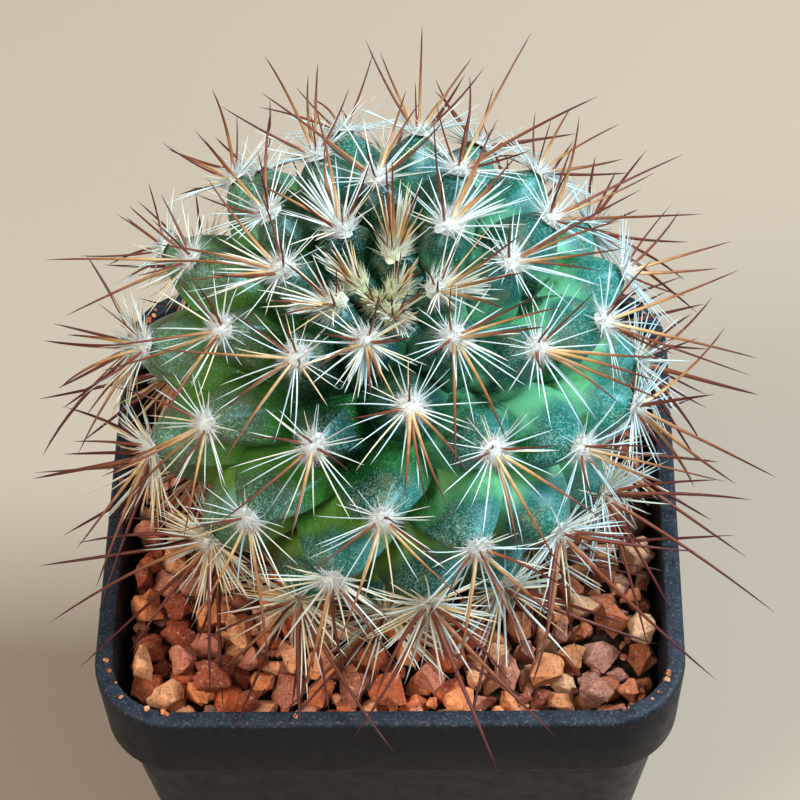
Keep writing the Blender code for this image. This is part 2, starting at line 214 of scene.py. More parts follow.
# Depth and closeness of a stone's lumps, in its own radii.
STONE_LUMPS = ((0.18, 1.7), (0.09, 4.3))
SETTLE_STEPS = 260
FALL = 0.09 * MM
NEARNESS = 0.93
PUSH = 0.42
FOOT_ROOM = 16.5 * MM
FOOT_ROOM_AT = np.array((0.5 * MM, 0.8 * MM))
LOOSE_STONES = 6
FINES = 1500
FINE_RADIUS = (0.5 * MM, 1.1 * MM)
CRUMBS = 34
CRUMB_RADIUS = (0.12 * MM, 0.55 * MM)
GAP = 0.35 * MM

# Room: each lamp's azimuth and elevation from the plant, distance, size, power and colour.
FLOOR_REACH = 3
WORLD_COLOUR = (0.9, 0.95, 1.0, 1.0)
WORLD_STRENGTH = 0.18
LAMPS = {
    "key": (92, 52, 1.0, 0.4, 20.5, (0.8, 0.93, 1.0)),
    "fill": (-45, 45, 1.2, 0.5, 11.5, (1.0, 0.93, 0.82)),
    "front": (10, 50, 1.2, 0.6, 2.5, (0.98, 0.98, 1.0)),
}

# Camera: its aim is off the rim's centre by these distances, across and up the picture.
CAMERA_LENS = 138.3
CAMERA_SENSOR = 36
CAMERA_DISTANCE = 407.3 * MM
CAMERA_ELEVATION = 0.851
CAMERA_TURN = 0.042
CAMERA_ROLL = 0.039
CAMERA_ACROSS = 1.5 * MM
CAMERA_UP = 12.21 * MM

CLUSTERS = [name for name in sorted(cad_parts) if name.startswith("spine_cluster")]
RNG = np.random.default_rng(11)


# Small tools


def smoothstep(low, high, x):
    t = np.clip((x - low) / (high - low), 0.0, 1.0)
    return t * t * (3 - 2 * t)


def between(low, high, share):
    return low + (high - low) * share


def unit(vectors):
    return vectors / np.maximum(np.linalg.norm(vectors, axis=-1, keepdims=True), 1e-12)


def placed(name, data):
    """A new object in the scene."""
    obj = bpy.data.objects.new(name, data)
    bpy.context.scene.collection.objects.link(obj)
    return obj


def piece(name, points, faces, finish, nodes=(), values=None, smooth_angle=None):
    """One visible piece of the object from arrays of points and faces, riding on the pot's body."""
    mesh = bpy.data.meshes.new(name)
    mesh.from_pydata(np.asarray(points).tolist(), [], [list(map(int, f)) for f in faces])
    for key, numbers in (values or {}).items():
        layer = mesh.attributes.new(key, "FLOAT", "POINT")
        layer.data.foreach_set("value", np.asarray(numbers, np.float32))
    mesh.shade_smooth()
    if smooth_angle is not None:
        mesh.set_sharp_from_angle(angle=smooth_angle)
    mesh.materials.append(finish)
    obj = placed(name, mesh)
    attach(obj, "root")
    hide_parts(*nodes)
    return obj


def ring_faces(rings, sides, start=0):
    """Quads of a stack of rings, each a closed loop of the same number of points."""
    ring, side = np.meshgrid(np.arange(rings - 1), np.arange(sides), indexing="ij")
    after = (side + 1) % sides
    low, high = ring * sides, (ring + 1) * sides
    return np.stack([low + side, low + after, high + after, high + side], axis=-1).reshape(-1, 4) + start


# Materials


def opaque(shade):
    """Three numbers as a colour; a socket stays as it is."""
    return (*shade, 1.0) if isinstance(shade, tuple) else shade


class Look:
    """A material in the making: one shader and the nodes that feed it."""

    def __init__(self, name, roughness, specular):
        self.material = bpy.data.materials.new(name)
        self.material.use_nodes = True
        self.tree = self.material.node_tree
        self.shader = self.tree.nodes["Principled BSDF"]
        self.set("Roughness", roughness)
        self.set("Specular IOR Level", specular)
        self.coords = self.node("TexCoord").outputs["Object"]

    def set(self, socket, value):
        self.shader.inputs[socket].default_value = value

    def soak(self, weight, radius, scale):
        """Light that enters the surface and comes out near by, up to scale away."""
        self.set("Subsurface Weight", weight)
        self.set("Subsurface Radius", radius)
        self.set("Subsurface Scale", scale)

    def node(self, kind, inputs=None, **settings):
        made = self.tree.nodes.new("ShaderNode" + kind)
        for key, value in settings.items():
            setattr(made, key, value)
        for key, value in (inputs or {}).items():
            if isinstance(value, bpy.types.NodeSocket):
                self.tree.links.new(value, made.inputs[key])
            else:
                made.inputs[key].default_value = value
        return made

    def noise(self, grain, detail=2.0, roughness=0.5, distortion=0.0):
        """Noise whose features are about one grain across."""
        inputs = {"Vector": self.coords, "Scale": 1 / grain, "Detail": detail}
        inputs.update({"Roughness": roughness, "Distortion": distortion})
        return self.node("TexNoise", inputs).outputs["Fac"]

    def attribute(self, name):
        return self.node("Attribute", attribute_name=name).outputs["Fac"]

    def along(self, axis):
        """The object's own coordinate along one axis."""
        return self.node("SeparateXYZ", {0: self.coords}).outputs[axis]

    def facing(self, axis):
        """How far the surface faces along one axis, from -1 to 1."""
        normal = self.node("NewGeometry").outputs["Normal"]
        return self.node("SeparateXYZ", {0: normal}).outputs[axis]

    def maths(self, operation, a, b=0.0):
        return self.node("Math", {0: a, 1: b}, operation=operation).outputs[0]

    def times(self, a, b):
        return self.maths("MULTIPLY", a, b)

    def steps(self, value, low, high, to_low=0.0, to_high=1.0):
        """Smooth step of a value from one number to another."""
        inputs = {"Value": value, "From Min": low, "From Max": high, "To Min": to_low, "To Max": to_high}
        return self.node("MapRange", inputs, interpolation_type="SMOOTHSTEP").outputs["Result"]

    def mix(self, factor, a, b, blend="MIX"):
        inputs = {0: factor, 6: opaque(a), 7: opaque(b)}
        return self.node("Mix", inputs, data_type="RGBA", blend_type=blend).outputs[2]

    def ramp(self, value, *stops, interpolation="LINEAR"):
        """Colour by a value; each stop is its place and three numbers."""
        made = self.node("ValToRGB", {"Fac": value})
        made.color_ramp.interpolation = interpolation
        while len(made.color_ramp.elements) < len(stops):
            made.color_ramp.elements.new(1.0)
        for element, (place, *shade) in zip(made.color_ramp.elements, stops):
            element.position = place
            element.color = (*shade, 1.0)
        return made.outputs["Color"]

    def bump(self, height, depth, strength=1.0):
        made = self.node("Bump", {"Height": height, "Distance": depth, "Strength": strength})
        self.tree.links.new(made.outputs["Normal"], self.shader.inputs["Normal"])

    def paint(self, shade, roughness=None):
        self.tree.links.new(shade, self.shader.inputs["Base Color"])
        if roughness is not None:
            self.tree.links.new(roughness, self.shader.inputs["Roughness"])


def skin_material():
    """Dark teal bloom on the tips and clear green between them, with fine pale flecks all over.

    The flanks turn to mint towards +X and to lime towards -X, and the bloom to blue towards +X and to olive
    towards -X: painted cool light on the +X side and painted warm light on the -X side. Where the bloom
    faces +X it has a painted blue sheen, and where it faces -X painted shade.
    """
    look = Look("cactus_skin", 0.45, 0.5)
    look.soak(0.06, (0.5, 1.0, 0.4), 1.2 * MM)
    # Blue tint in the skin's reflections: painted colour of the cool light.
    look.set("Specular Tint", (0.4, 0.8, 1.0, 1.0))
    cap = look.attribute("cap")
    age = look.attribute("age")
    tone = look.attribute("tone")
    east = look.along("X")
    facing = look.facing("X")

    patches = look.noise(5 * MM, 3.0, 0.55)
    uneven = look.maths("SUBTRACT", patches, 0.5)
    flank = look.ramp(
        look.maths("ADD", look.steps(age, 0.12, 0.72), uneven),
        (0.0, 0.001, 0.018, 0.002),
        (0.3, 0.004, 0.076, 0.005),
        (0.58, 0.04, 0.172, 0.009),
        (1.0, 0.2, 0.3, 0.025),
    )
    # Painted cool light: mint patches on the flanks towards +X. Painted warm light: lime flanks towards -X.
    mint = look.mix(look.steps(patches, 0.36, 0.54), flank, (0.14, 0.5, 0.28))
    flank = look.mix(look.steps(east, -2 * MM, 20 * MM, 0.0, 0.75), flank, mint)
    flank = look.mix(look.steps(east, -6 * MM, -24 * MM, 0.0, 0.6), flank, (0.12, 0.24, 0.025))

    bloom = look.ramp(
        look.maths("ADD", tone, uneven),
        (0.0, 0.004, 0.02, 0.007),
        (0.45, 0.009, 0.064, 0.035),
        (1.0, 0.018, 0.135, 0.095),
    )
    bloom = look.mix(look.steps(age, 0.2, 0.42, 0.96, 0.0), bloom, (0.001, 0.007, 0.004))
    # Painted cool light: the bloom turns bluer towards +X.
    bloom = look.mix(look.steps(east, -4 * MM, 26 * MM, 0.0, 0.6), bloom, (0.008, 0.18, 0.15))
    # Painted shade on the sides that face -X, and a painted blue sheen on the sides that face +X, less in the
    # crown.
    painted_shade_side = look.steps(facing, 0.15, -0.5, 0.0, 0.55)
    bloom = look.mix(painted_shade_side, bloom, (0.011, 0.034, 0.009))
    lit = look.steps(facing, 0.2, 0.9, 0.0, 0.6)
    painted_blue_sheen = look.times(lit, look.steps(age, 0.2, 0.42, 0.25, 1.0))
    bloom = look.mix(painted_blue_sheen, bloom, (0.035, 0.2, 0.21))
    # Painted warm light: the bloom turns olive towards -X.
    olive = look.mix(0.6, bloom, (0.13, 0.16, 0.03))
    bloom = look.mix(look.steps(east, -4 * MM, -26 * MM, 0.0, 0.85), bloom, olive)
    tan = look.steps(look.noise(3.5 * MM, 2.0), 0.52, 0.68, 0.0, 0.6)
    bloom = look.mix(tan, bloom, (0.11, 0.12, 0.05))

    edge = look.maths("ADD", cap, look.times(uneven, 0.25))
    skin = look.mix(look.steps(edge, 0.09, 0.26), flank, bloom)

    wriggle = look.noise(0.3 * MM, 2.0, 0.6, 0.8)
    ridge = look.steps(look.maths("ABSOLUTE", look.maths("SUBTRACT", wriggle, 0.5)), 0.05, 0.012)
    broken = look.steps(look.noise(0.4 * MM, 1.0), 0.42, 0.55)
    on_cap = look.steps(cap, 0.1, 0.5, 0.1, 0.8)
    where = look.times(on_cap, look.steps(age, 0.16, 0.4, 0.3, 1.0))
    flecks = look.times(look.times(ridge, broken), where)
    skin = look.mix(flecks, skin, (0.24, 0.56, 0.46))
    specks = look.steps(look.noise(0.2 * MM, 1.0), 0.6, 0.72, 0.0, 0.45)
    skin = look.mix(specks, skin, (0.3, 0.56, 0.44))

    gloss = look.steps(cap, 0.1, 0.6, 0.36, 0.33)
    look.paint(skin, gloss)
    grain = look.maths("ADD", look.noise(0.25 * MM, 2.0), flecks)
    look.bump(grain, 0.03 * MM, 0.8)
    return look.material


def radial_material():
    """Bluish white to cream and straw spines, each with its own tint, yellower at the foot."""
    look = Look("radial_spine", 0.38, 0.5)
    look.soak(0.2, (1.0, 0.9, 0.7), 0.3 * MM)
    # Bluish tint in the spines' reflections: painted colour of the cool light.
    look.set("Specular Tint", (0.75, 0.92, 1.0, 1.0))
    along = look.attribute("along")
    tint = look.attribute("tint")
    shade = look.ramp(
        tint,
        (0.0, 0.4, 0.58, 0.65),
        (0.35, 0.6, 0.65, 0.61),
        (0.6, 0.74, 0.66, 0.46),
        (0.85, 0.76, 0.51, 0.21),
        (1.0, 0.52, 0.3, 0.11),
    )
    tip = look.times(look.steps(along, 0.35, 1.0), look.steps(tint, 0.6, 0.95))
    shade = look.mix(look.times(tip, 0.7), shade, (0.36, 0.17, 0.07))
    shade = look.mix(look.steps(along, 0.0, 0.25, 0.45, 0.0), shade, (0.84, 0.78, 0.58))
    streaks = look.noise(1.5 * MM)
    shade = look.mix(look.steps(streaks, 0.4, 0.7, 0.0, 0.25), shade, (0.85, 0.85, 0.8))
    look.paint(shade)
    look.bump(look.noise(0.3 * MM), 0.01 * MM, 0.4)
    return look.material


def central_material():
    """Straw at the foot, orange-brown along, dark red-brown at the tip; old ones are brown all along."""
    look = Look("central_spine", 0.4, 0.28)
    along = look.attribute("along")
    tint = look.attribute("tint")
    streaks = look.noise(1.2 * MM, 3.0)
    place = look.maths("ADD", along, look.times(look.maths("SUBTRACT", streaks, 0.5), 0.35))
    pale = look.ramp(
        place,
        (0.0, 0.68, 0.53, 0.31),
        (0.28, 0.44, 0.235, 0.085),
        (0.55, 0.22, 0.07, 0.025),
        (0.9, 0.065, 0.015, 0.012),
    )
    dark = look.ramp(
        place,
        (0.0, 0.34, 0.13, 0.045),
        (0.2, 0.17, 0.038, 0.017),
        (0.8, 0.06, 0.012, 0.011),
    )
    shade = look.mix(look.steps(tint, 0.35, 0.75), pale, dark)
    look.paint(shade, look.steps(streaks, 0.2, 0.8, 0.36, 0.56))
    look.bump(look.noise(0.25 * MM, 3.0), 0.015 * MM, 0.5)
    return look.material


def wool_material():
    """Wool: yellowish green in the crown, white on the grown plant, straw-coloured at the foot."""
    look = Look("areole_wool", 0.95, 0.15)
    look.soak(0.35, (1.0, 0.95, 0.85), 0.5 * MM)
    shade = look.ramp(
        look.attribute("age"),
        (0.0, 0.54, 0.57, 0.26),
        (0.05, 0.66, 0.67, 0.44),
        (0.09, 0.62, 0.645, 0.63),
        (0.5, 0.7, 0.72, 0.7),
        (0.75, 0.68, 0.57, 0.39),
    )
    tuft = look.noise(0.35 * MM, 3.0)
    shade = look.mix(look.steps(tuft, 0.35, 0.7, 0.0, 0.2), shade, (0.66, 0.62, 0.5))
    look.paint(shade)
    look.bump(look.noise(0.14 * MM, 3.0), 0.08 * MM, 0.9)
    return look.material


def gravel_material():
    """Fired clay in a few tones, one to each stone by its tint, with painted shade that darkens and cools it
    towards +X.
    """
    look = Look("gravel_stone", 0.85, 0.25)
    shade = look.ramp(
        look.attribute("tint"),
        (0.0, 0.32, 0.065, 0.03),
        (0.17, 0.62, 0.14, 0.05),
        (0.38, 0.84, 0.27, 0.1),
        (0.6, 0.6, 0.21, 0.13),
        (0.72, 0.95, 0.42, 0.2),
        (0.88, 0.95, 0.56, 0.33),
        (0.92, 0.4, 0.13, 0.08),
        (0.98, 0.28, 0.17, 0.13),
        interpolation="CONSTANT",
    )
    mottle = look.noise(1.3 * MM, 4.0, 0.65)
    shade = look.mix(look.steps(mottle, 0.44, 0.68, 0.0, 0.5), shade, (0.3, 0.08, 0.035))
    pale = look.steps(look.noise(0.5 * MM, 4.0, 0.65), 0.54, 0.7, 0.0, 0.55)
    shade = look.mix(pale, shade, (0.92, 0.56, 0.34))
    # Painted shade: the gravel darkens and cools towards +X.
    painted_east_shade = look.steps(look.along("X"), 4 * MM, 26 * MM, 0.0, 0.75)
    shade = look.mix(painted_east_shade, shade, (0.42, 0.6, 0.74), "MULTIPLY")
    pores = look.steps(look.noise(0.26 * MM, 3.0), 0.6, 0.7, 0.0, 0.7)
    shade = look.mix(pores, shade, (0.12, 0.035, 0.018))
    look.paint(shade, look.steps(mottle, 0.3, 0.7, 0.72, 0.92))
    rough = look.maths("SUBTRACT", look.noise(0.5 * MM, 5.0, 0.65), pores)
    look.bump(rough, 0.2 * MM, 1.0)
    return look.material


def soil_material():
    """Dark crumbly soil."""
    look = Look("potting_soil_looks", 0.95, 0.2)
    crumbs = look.noise(1.1 * MM, 5.0, 0.7)
    shade = look.ramp(
        crumbs,
        (0.3, 0.008, 0.005, 0.004),
        (0.55, 0.035, 0.02, 0.012),
        (0.75, 0.09, 0.05, 0.03),
    )
    look.paint(shade)
    look.bump(crumbs, 0.5 * MM, 1.0)
    return look.material


def pot_material():
    """Black plastic: faint moulding marks, and dust and scuffs on the rim; the scuffs' blue is partly a
    painted reflection of cool light.
    """
    look = Look("nursery_pot", 0.42, 0.1)
    rim = look.attribute("rim")
    cloud = look.noise(14 * MM, 3.0)
    low = look.steps(look.along("Z"), LEDGE + 1 * MM, LEDGE - 1 * MM)
    shade = look.mix(cloud, (0.001, 0.0013, 0.0032), (0.0025, 0.003, 0.0055))
    shade = look.mix(low, shade, (0.011, 0.0122, 0.0172))
    film = look.noise(2.2 * MM, 5.0, 0.7)
    shade = look.mix(look.steps(film, 0.4, 0.75, 0.0, 0.35), shade, (0.01, 0.0095, 0.011))
    # Blue rim scuffs: real scuffs, and also a painted reflection of the cool light on the rim.
    scuffs_and_painted_sheen = look.times(look.steps(film, 0.3, 0.6, 0.5, 1.0), rim)
    shade = look.mix(look.times(scuffs_and_painted_sheen, 0.75), shade, (0.027, 0.037, 0.053))
    dust = look.steps(look.noise(0.4 * MM, 4.0, 0.7), 0.52, 0.72)
    dust = look.times(dust, look.maths("ADD", look.times(rim, 0.45), 0.015))
    shade = look.mix(dust, shade, (0.22, 0.2, 0.19))
    gloss = look.steps(look.maths("ADD", film, look.times(rim, 0.2)), 0.3, 0.9, 0.34, 0.6)
    look.paint(shade, gloss)
    grain = look.maths("ADD", look.noise(0.35 * MM, 2.0), look.times(scuffs_and_painted_sheen, 1.5))
    look.bump(grain, 0.03 * MM, 0.35)
    return look.material


def floor_material():
    look = Look("studio_floor", 0.6, 0.3)
    shade = look.mix(look.noise(0.25, 3.0), (0.36, 0.29, 0.225), (0.39, 0.32, 0.25))
    look.paint(shade)
    return look.material


# Plant: the globe, its tubercles and their clusters


def turned(vectors):
    """Vectors of the body's own frame as the leaning body holds them."""
    lean = Matrix.Rotation(LEAN_SIDE, 3, "Y") @ Matrix.Rotation(LEAN_FORWARD, 3, "X")
    return vectors @ np.array(lean).T


def in_world(points):
    return turned(points) + np.array(BODY_CENTRE)


def tubercle_height(polar):
    full = between(YOUNG_HEIGHT, TUBERCLE_HEIGHT, smoothstep(0.0, FULL_GROWN, polar))
    return full * (1 - FOOT_SHRINK * smoothstep(*FOOT_SHRINKS, polar))


def skin_point(polar, turn, inset):
    """Points of the globe inside the tubercle tips by an inset, by the same rule as the CAD's."""
    across = np.maximum(np.sin(polar), 0.0)
    up = np.cos(polar)
    upper = up >= 0
    r = (BODY_RADIUS - inset) * np.where(upper, across**CROWN_POWER, across**FOOT_POWER)
    crown = (CROWN_HEIGHT - inset) * np.maximum(up, 0.0) ** CROWN_POWER
    crown = crown - DIP_DEPTH * np.exp(-((polar / DIP_WIDTH) ** 2))
    z = np.where(upper, crown, (FOOT_DEPTH + np.where(inset > 0, NECK_DROP, 0.0)) * up)
    z = z - ROOT_LENGTH * smoothstep(ROOT_FROM, math.pi, polar)
    return np.stack([r * np.cos(turn), r * np.sin(turn), z], axis=-1)


def tubercle_line(polar, turn):
    """Foot of a tubercle on its axis, and the vector from there to its tip."""
    foot = skin_point(polar, turn, tubercle_height(polar))
    return foot, skin_point(polar, turn, np.zeros_like(polar)) - foot


def on_sphere(polar, turn):
    return np.stack([np.sin(polar) * np.cos(turn), np.sin(polar) * np.sin(turn), np.cos(polar)], axis=-1)


def angles_of(directions):
    polar = np.arccos(np.clip(directions[..., 2], -1.0, 1.0))
    return polar, np.arctan2(directions[..., 1], directions[..., 0])


def tubercle_places():
    """Polar angle and turn of each tubercle on the globe."""
    numbers = np.arange(1, TUBERCLES + 1)
    return POLAR_STEP * (numbers + POLAR_SHIFT) ** POLAR_POWER, FIRST_TURN + TURN * numbers


def cells(directions):
    """For each direction, the corners of the region of the sphere nearer to it than to any other."""
    bm = bmesh.new()
    for direction in directions:
        bm.verts.new(direction)
    bm.verts.index_update()
    bmesh.ops.convex_hull(bm, input=bm.verts)
    bm.normal_update()
    bm.verts.ensure_lookup_table()
    found = []
    for vert in bm.verts:
        axis = vert.co.normalized()
        side = axis.orthogonal()
        other = axis.cross(side)
        normals = [f.normal * math.copysign(1, f.normal.dot(axis)) for f in vert.link_faces]
        normals.sort(key=lambda n: math.atan2(n.dot(other), n.dot(side)))
        found.append(unit(np.array([tuple(n) for n in normals])))
    bm.free()
    return found


def cell_border(polygon):
    """Points along a cell's sides, as directions, the same number on each side."""
    share = np.arange(SIDE_STEPS)[:, None] / SIDE_STEPS
    sides = [between(a, b, share) for a, b in zip(polygon, np.roll(polygon, -1, axis=0))]
    return unit(np.concatenate(sides))


def axil_point(directions):
    """Points of the skin at the foot of the tubercles, in the furrows."""
    polar, turn = angles_of(directions)
    return skin_point(polar, turn, tubercle_height(polar))


def tubercle_points(polar, turn, border):
    """Rings from the furrow up to the tip, and each ring's share of the way out from the axis."""
    foot, line = tubercle_line(polar, turn)
    height = np.linalg.norm(line)
    axis = line / height
    edge = axil_point(border) - foot
    drop = edge @ axis
    side = edge - drop[:, None] * axis
    width = np.linalg.norm(side, axis=1)
    rings = []
    shares = []
    for angle in np.linspace(math.pi / 2, 0.0, TUBERCLE_RINGS + 1)[:-1]:
        share = math.sin(angle) ** TIP_POWER
        rise = height * math.cos(angle) ** TIP_POWER
        reach = share * between(width.mean(), width, share)
        rings.append(foot + unit(side) * reach[:, None] + np.outer(rise + drop * share * share, axis))
        shares.append(np.full(len(border), share))
    rings.append((foot + axis * height)[None])
    shares.append(np.zeros(1))
    return np.concatenate(rings), np.concatenate(shares)


def skin_arrays():
    """The skin's points and faces, and its height on the tubercle, age and tone at each point."""
    polars, turns = tubercle_places()
    foot_turns = np.arange(FOOT_SITES) * math.tau / FOOT_SITES
    all_polars = np.concatenate([polars, np.full(FOOT_SITES, FOOT_SITES_AT), [math.pi]])
    all_turns = np.concatenate([turns, foot_turns, [0.0]])
    borders = [cell_border(polygon) for polygon in cells(on_sphere(all_polars, all_turns))]
    points, faces, cap, age, tone = [], [], [], [], []
    count = 0
    for number, border in enumerate(borders):
        polar, turn = all_polars[number], all_turns[number]
        if number < TUBERCLES:
            made, shares = tubercle_points(polar, turn, border)
            rings = TUBERCLE_RINGS
        else:
            middle = axil_point(on_sphere(np.array([polar]), np.array([turn])))
            made = np.concatenate([axil_point(border), middle])
            shares = np.ones(len(made))
            rings = 1
        sides = len(border)
        faces += ring_faces(rings, sides, count).tolist()
        last = count + (rings - 1) * sides
        tip = count + len(made) - 1
        faces += [[last + k, last + (k + 1) % sides, tip] for k in range(sides)]
        points.append(made)
        cap.append(1 - shares)
        age.append(np.full(len(made), polar / math.pi))
        tone.append(np.full(len(made), RNG.uniform(0.15, 0.85)))
        count += len(made)
    values = {"cap": np.concatenate(cap), "age": np.concatenate(age), "tone": np.concatenate(tone)}
    return np.concatenate(points), faces, values


def build_skin():
    points, faces, values = skin_arrays()
    obj = piece("cactus_skin", in_world(points), faces, skin_material(), ["cactus_stem"], values)
    bm = bmesh.new()
    bm.from_mesh(obj.data)
    bmesh.ops.remove_doubles(bm, verts=bm.verts, dist=SKIN_WELD)
    bmesh.ops.recalc_face_normals(bm, faces=bm.faces)
    bm.normal_update()
    for vert in bm.verts:
        vert.co += vert.normal * SKIN_LUMP * noise.noise(vert.co / SKIN_LUMP_SIZE)
    bm.to_mesh(obj.data)
    bm.free()


def areoles():
    """Number, polar angle, tip, axis, downhill and sideways direction of each cluster, in world space."""
    polars, turns = tubercle_places()
    foot, line = tubercle_line(polars, turns)
    axis = unit(line)
    down = unit(np.array((0.0, 0.0, -1.0)) + axis * axis[:, 2:3])
    return {
        "number": np.arange(1, TUBERCLES + 1),
        "polar": polars,
        "tip": in_world(foot + line),
        "axis": turned(axis),
        "down": turned(down),
        "side": turned(np.cross(axis, down)),
    }


def spikes(base, direction, length, radius, bend, sections=7, sides=5):
    """Tapered, slightly bent spines as one set of arrays, with the place along each."""
    s = np.linspace(0.0, 1.0, sections)[:, None]
    helper = np.where(np.abs(direction[:, 2:3]) < 0.9, (0.0, 0.0, 1.0), (1.0, 0.0, 0.0))
    across = unit(np.cross(direction, helper))
    other = np.cross(direction, across)
    path = base[:, None] + length[:, None, None] * (s * direction[:, None] + s**2 * bend[:, None])
    taper = between(SPINE_BLUNT, 1.0, (1 - s) ** 0.5)
    around = (np.arange(sides) * math.tau / sides)[:, None]
    circle = np.cos(around) * across[:, None] + np.sin(around) * other[:, None]
    wide = (radius[:, None, None] * taper)[..., None]
    points = path[:, :, None] + wide * circle[:, None]
    start = np.arange(len(base))[:, None] * sections * sides
    faces = (ring_faces(sections, sides) + start[:, None]).reshape(-1, 4)
    caps = start + (sections - 1) * sides + np.arange(sides)
    along = np.broadcast_to(s, (len(base), sections, sides)).reshape(-1)
    return points.reshape(-1, 3), faces.tolist() + caps.tolist(), along


def lift_clear(base, direction, length):
    """Turns spines up that would reach into the gravel or the rim."""
    for _ in range(LIFT_ROUNDS):
        tip = base + direction * length[:, None]
        reach = np.abs(tip[:, :2]).max(axis=1)
        inside = reach < RIM_WIDTH / 2 - RIM_LIP - WALL_ROOM
        least = np.where(inside, CRUST_TOP, RIM_TOP + RIM_CLEARANCE)
        short = np.maximum(least - tip[:, 2], 0.0)
        direction = direction.copy()
        direction[:, 2] += short / length
        direction = unit(direction)
    return direction


def within_box(base, direction, bend, length):
    """Lengths cut so that no spine, with its bend, stands far out of the CAD's box."""
    s = np.linspace(0.0, 1.0, BEND_STEPS)[:, None]
    path = s * direction[:, None] + s * s * bend[:, None]
    high = (np.array(CAD_BOX[1]) + OUTSIDE_ROOM - base) / np.maximum(path.max(axis=1), 1e-6)
    low = (base - np.array(CAD_BOX[0]) + OUTSIDE_ROOM) / np.maximum(-path.min(axis=1), 1e-6)
    return np.minimum(length, np.minimum(high, low).min(axis=1))


def picked(places, index):
    """The places' own values of the areoles that an index picks."""
    return {key: values[index] for key, values in places.items()}


def flat_round(own, around, stretch=1.0):
    """Directions in an areole's tangent plane, at an angle from downhill."""
    return own["down"] * (stretch * np.cos(around))[:, None] + own["side"] * np.sin(around)[:, None]


def fan(own, around, rise):
    """Directions from an areole: angle around its axis from downhill, and rise above its tangent plane."""
    return unit(flat_round(own, around) * np.cos(rise)[:, None] + own["axis"] * np.sin(rise)[:, None])


def sideways(own, direction, swing):
    """A random bend to one side of each spine."""
    return np.cross(direction, own["axis"]) * RNG.normal(0.0, swing, len(direction))[:, None]


def opened(number):
    """How far a cluster has opened: 0 in the crown, 1 once it is grown."""
    return smoothstep(*OPENS, number)


def wheel(number):
    """Radial spines all round one areole: angle, rise, length, tint and radius of each."""
    openness = opened(number)
    closed = 1 - openness
    old = smoothstep(*GROWS_DENSE, number)
    count = int(RADIALS - YOUNG_RADIALS_LESS * closed + OLD_RADIALS * old)
    even = (np.arange(count) + 0.5) / count * 2 - 1 + RNG.normal(0, 0.3 / count, count)
    spread = between(YOUNG_SPREAD, 1.0, openness)
    around = np.sign(even) * np.abs(even) ** (1 + 0.6 * closed) * spread * math.pi
    around += 0.1 * np.sin(6 * around + RNG.uniform(0, math.tau))
    rise = math.radians(between(RADIAL_RISE_YOUNG, RADIAL_RISE, openness))
    rise = rise + RNG.normal(0, math.radians(6), count)
    rise += math.radians(OLD_RISE_SWING) * old * RNG.uniform(-1, 1, count)
    grow = between(YOUNG_SPINE, 1.0, smoothstep(*RADIALS_GROW, number)) + 0.08 * old
    length = (RADIAL_LENGTH + RADIAL_LENGTH_SWING * np.cos(around)) * grow * RNG.uniform(0.75, 1.15, count)
    cream = CREAM_TINT * (RNG.random(count) < CREAM_SHARE)
    tint = RNG.uniform(0.0, 0.45, count) + cream + old * RNG.uniform(0.1, 0.5, count) + 0.35 * closed
    thick = 0.72 + 0.28 * (1 + np.cos(around)) / 2 + 0.3 * closed + 0.45 * old
    return around, rise, length, tint, RADIAL_RADIUS * thick * RNG.uniform(0.8, 1.15, count)


def brush(number):
    """The close bundle of thick pale spines that a young areole has on its outer side."""
    fading = 1 - smoothstep(*BRUSH_FADES, number)
    count = int(BRUSH_SPINES * fading * smoothstep(*BRUSH_GROWS, number))
    loose = smoothstep(*BRUSH_LOOSENS, number)
    around = RNG.normal(0, 0.17 + 0.3 * loose, count)
    rise = math.radians(between(BRUSH_RISE, LOOSE_BRUSH_RISE, loose)) + RNG.normal(0, 0.1, count)
    length = BRUSH_LENGTH * (0.75 + 0.25 * loose) * RNG.uniform(0.75, 1.1, count)
    return around, rise, length, RNG.uniform(0.12, 0.5, count), BRUSH_RADIUS * RNG.uniform(0.7, 1.1, count)


def radial_arrays(places):
    """Areole, angle, rise, length, tint and radius of every radial and brush spine."""
    index, found = [], []
    for k, number in enumerate(places["number"]):
        for group in (wheel(number), brush(number)):
            index.append(np.full(len(group[0]), k))
            found.append(np.stack(group))
    around, rise, length, tint, radius = np.concatenate(found, axis=1)
    return picked(places, np.concatenate(index)), around, rise, length, np.clip(tint, 0, 1), radius


def spine_piece(name, arrays, tint, finish):
    points, faces, along = arrays
    values = {"along": along, "tint": np.repeat(tint, len(along) // len(tint))}
    piece(name, points, faces, finish, CLUSTERS, values)


def build_radials(places):
    own, around, rise, length, tint, radius = radial_arrays(places)
    direction = fan(own, around, rise)
    foot = fan(own, around, rise * 0.5) * CUSHION_RADIUS * 0.55
    base = own["tip"] + foot - own["axis"] * 0.1 * MM
    # Painted light in the tints: warm cream towards -X, cool white towards +X.
    tint += PAINTED_WARM_WEST * smoothstep(0.0, BODY_RADIUS, -base[:, 0])
    tint = np.clip(tint - PAINTED_COOL_EAST * smoothstep(0.0, BODY_RADIUS, base[:, 0]), 0, 1)
    direction = lift_clear(base, direction, length)
    bend = own["axis"] * RNG.normal(-0.03, 0.06, len(base))[:, None]
    bend += sideways(own, direction, 0.05)
    length = within_box(base, direction, bend, length)
    spine_piece("radial_spines", spikes(base, direction, length, radius, bend), tint, radial_material())


